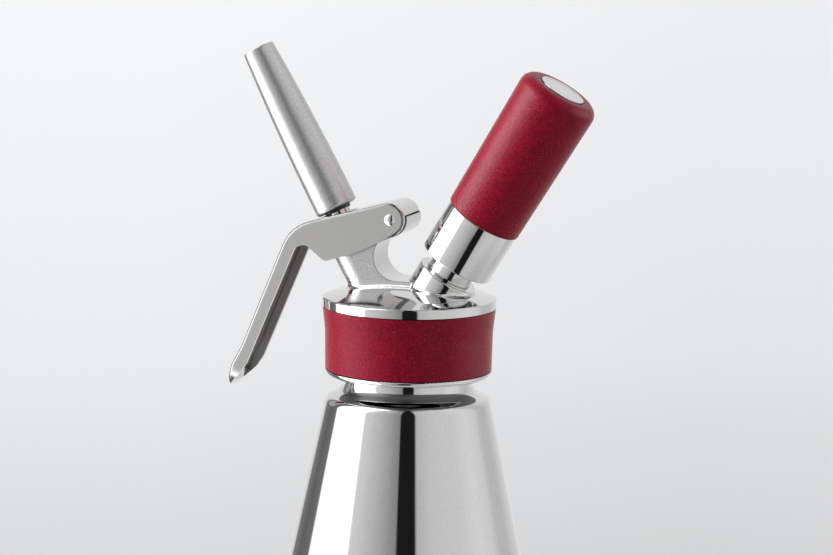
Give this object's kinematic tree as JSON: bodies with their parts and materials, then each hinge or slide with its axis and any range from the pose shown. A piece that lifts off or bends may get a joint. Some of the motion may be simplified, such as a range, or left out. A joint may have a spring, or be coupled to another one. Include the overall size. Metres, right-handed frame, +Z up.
{
  "type": "whipped cream dispenser",
  "caption": "Gas-charged cream whipper: tapered steel bottle, screw-on domed head with red band, lever valve under a long leaning nozzle, and a red-gripped charger holder.",
  "frame": {"origin": "centre of the bottle's base, on the surface that the dispenser stands on", "axes": "+Z up along the bottle's axis; -X towards the lever and nozzle, +X towards the charger holder; the XZ plane is the plane of symmetry"},
  "size_m": [0.1543, 0.104, 0.3381],
  "materials": {
    "polished_steel": "polished",
    "satin_steel": "satin",
    "turned_steel": "satin",
    "spring_steel": "satin",
    "charger_steel": "satin",
    "badge_steel": "satin",
    "red_silicone": "satin",
    "gasket_silicone": "matte",
    "black_rubber": "matte"
  },
  "bodies": {
    "bottle_body": {"bottle": "polished_steel"},
    "gasket_body": {"head_gasket": "gasket_silicone"},
    "head_body": {"head": "polished_steel", "head_band": "red_silicone", "port_insert": "turned_steel", "piercing_pin": "turned_steel", "charger_gasket": "black_rubber", "check_valve_sleeve": "gasket_silicone"},
    "lever_body": {"lever": "satin_steel", "lever_pin": "polished_steel"},
    "valve_body": {"valve_stem": "turned_steel", "valve_seal": "black_rubber", "stem_rings": "black_rubber", "valve_spring": "spring_steel", "tip_adaptor": "turned_steel"},
    "washer_body": {"nozzle_washer": "black_rubber"},
    "nozzle_body": {"nozzle": "polished_steel"},
    "charger_body": {"charger": "charger_steel", "charger_cap": "charger_steel"},
    "holder_body": {"holder_sleeve": "polished_steel", "holder_grip": "red_silicone", "holder_badge": "badge_steel"}
  },
  "joints": [
    {"name": "head_lift", "type": "slide", "parent": "bottle_body", "child": "gasket_body", "axis": [0, 0, 1], "range_m": [0, 0.0136]},
    {"name": "head_unscrew", "type": "hinge", "parent": "gasket_body", "child": "head_body", "pos_m": [0, 0, 0.232], "axis": [0, 0, 1], "range_deg": [0, 1080]},
    {"name": "lever_pivot", "type": "hinge", "parent": "head_body", "child": "lever_body", "pos_m": [-0.0056, 0, 0.2684], "axis": [0, -1, 0], "range_deg": [0, 11], "stiffness_Nm_per_rad": 1.2, "springref_deg": -17.19},
    {"name": "valve_press", "type": "slide", "parent": "head_body", "child": "valve_body", "axis": [0.4848, 0, -0.8746], "range_m": [0, 0.0044], "deforming": ["valve_spring"]},
    {"name": "nozzle_rise", "type": "slide", "parent": "valve_body", "child": "washer_body", "axis": [-0.4848, 0, 0.8746], "range_m": [0, 0.0075]},
    {"name": "nozzle_unscrew", "type": "hinge", "parent": "washer_body", "child": "nozzle_body", "pos_m": [-0.04009, 0, 0.28448], "axis": [-0.4848, 0, 0.8746], "range_deg": [0, 1810]},
    {"name": "charger_lift", "type": "slide", "parent": "head_body", "child": "charger_body", "axis": [0.5135, 0, 0.8581], "range_m": [0, 0.0158]},
    {"name": "holder_unscrew", "type": "hinge", "parent": "charger_body", "child": "holder_body", "pos_m": [0.03941, 0, 0.28348], "axis": [0.5135, 0, 0.8581], "range_deg": [0, 3240]}
  ],
  "couplings": [
    {"joint": "head_lift", "follows": "head_unscrew", "m_per_rad": 0.0007162},
    {"joint": "valve_press", "follows": "lever_pivot", "m_per_rad": 0.0224},
    {"joint": "nozzle_unscrew", "follows": "nozzle_rise", "rad_per_m": 4188.8},
    {"joint": "charger_lift", "follows": "holder_unscrew", "m_per_rad": 0.00027852}
  ]
}
